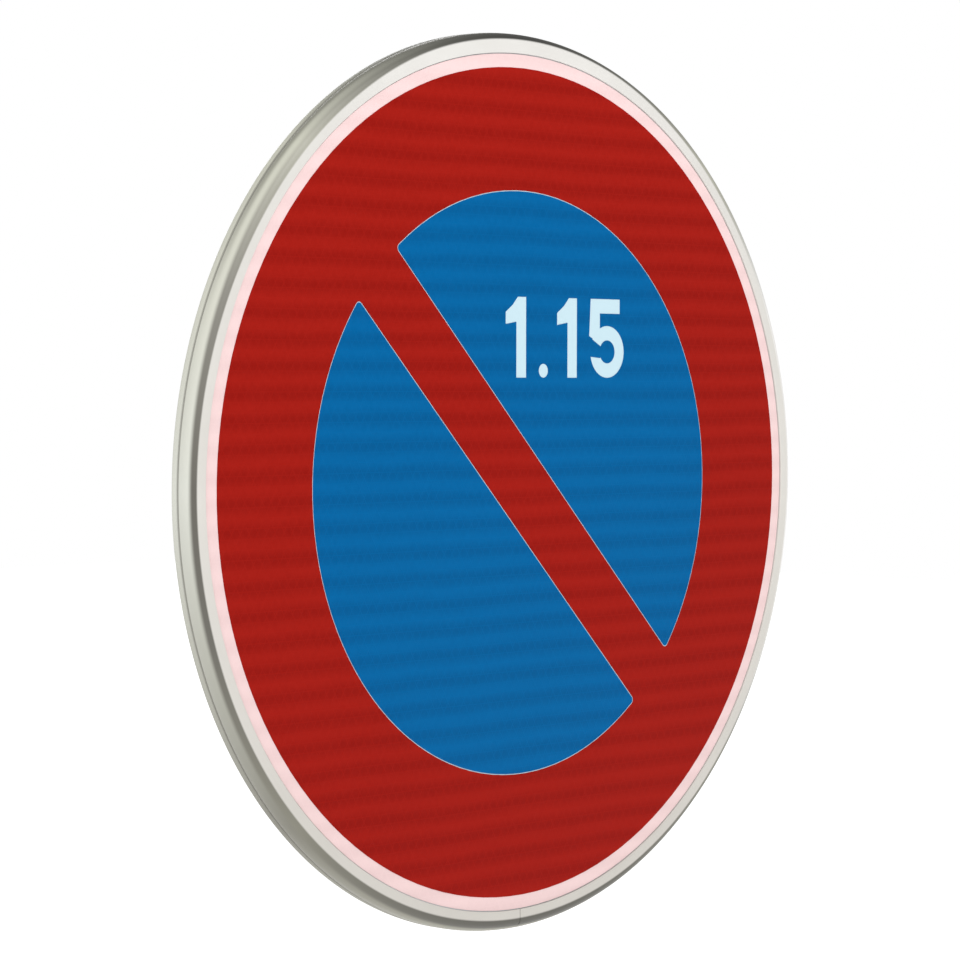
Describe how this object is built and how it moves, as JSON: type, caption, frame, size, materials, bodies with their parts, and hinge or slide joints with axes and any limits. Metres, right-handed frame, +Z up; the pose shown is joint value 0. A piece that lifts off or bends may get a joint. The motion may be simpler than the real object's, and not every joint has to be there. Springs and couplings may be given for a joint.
{
  "type": "round no-parking road sign",
  "caption": "Round no-parking sign: blue field, red ring and diagonal bar, white date numerals, grey metal rim, back rails with clamps for a round post.",
  "frame": {"origin": "on the axis of the round post that the clamps hold, at the height of the sign's centre", "axes": "+Z up along the post, +Y to the back of the sign, so the sign's face looks along -Y; +X is to the reader's right"},
  "size_m": [0.65, 0.0864, 0.65],
  "materials": {
    "plate_aluminium": "mill finish, matt",
    "white_sheeting": "prismatic retroreflective, semi-gloss",
    "red_film": "transparent film over prismatic sheeting, semi-gloss",
    "blue_film": "transparent film over prismatic sheeting, semi-gloss",
    "rim_aluminium": "light grey lacquer, satin",
    "rivet_aluminium": "plain, satin",
    "rail_aluminium": "extruded, matt",
    "foam_tape": "acrylic foam, matt",
    "cast_aluminium": "extruded and tumbled, matt",
    "zinc_steel": "zinc plated, satin",
    "nylon": "dyed nylon, matt"
  },
  "bodies": {
    "panel": {"face_plate": "plate_aluminium", "white_sheeting": "white_sheeting", "red_film": "red_film", "blue_film_upper": "blue_film", "blue_film_lower": "blue_film", "rim_profile": "rim_aluminium", "rim_splice": "plate_aluminium", "rim_rivets": "rivet_aluminium", "upper_rail": "rail_aluminium", "lower_rail": "rail_aluminium", "upper_rail_tape": "foam_tape", "lower_rail_tape": "foam_tape"},
    "upper_clamp": {"upper_saddle": "cast_aluminium", "upper_bolts": "zinc_steel"},
    "upper_strap": {"upper_strap": "cast_aluminium", "upper_washers": "zinc_steel", "upper_nuts": "zinc_steel", "upper_nut_inserts": "nylon"},
    "lower_clamp": {"lower_saddle": "cast_aluminium", "lower_bolts": "zinc_steel"},
    "lower_strap": {"lower_strap": "cast_aluminium", "lower_washers": "zinc_steel", "lower_nuts": "zinc_steel", "lower_nut_inserts": "nylon"}
  },
  "joints": [
    {"name": "upper_clamp_slide", "type": "slide", "parent": "panel", "child": "upper_clamp", "axis": [1, 0, 0], "range_m": [-0.185, 0.185]},
    {"name": "upper_strap_loosen", "type": "slide", "parent": "upper_clamp", "child": "upper_strap", "axis": [0, 1, 0], "range_m": [0, 0.004]},
    {"name": "lower_clamp_slide", "type": "slide", "parent": "panel", "child": "lower_clamp", "axis": [1, 0, 0], "range_m": [-0.185, 0.185]},
    {"name": "lower_strap_loosen", "type": "slide", "parent": "lower_clamp", "child": "lower_strap", "axis": [0, 1, 0], "range_m": [0, 0.004]}
  ]
}
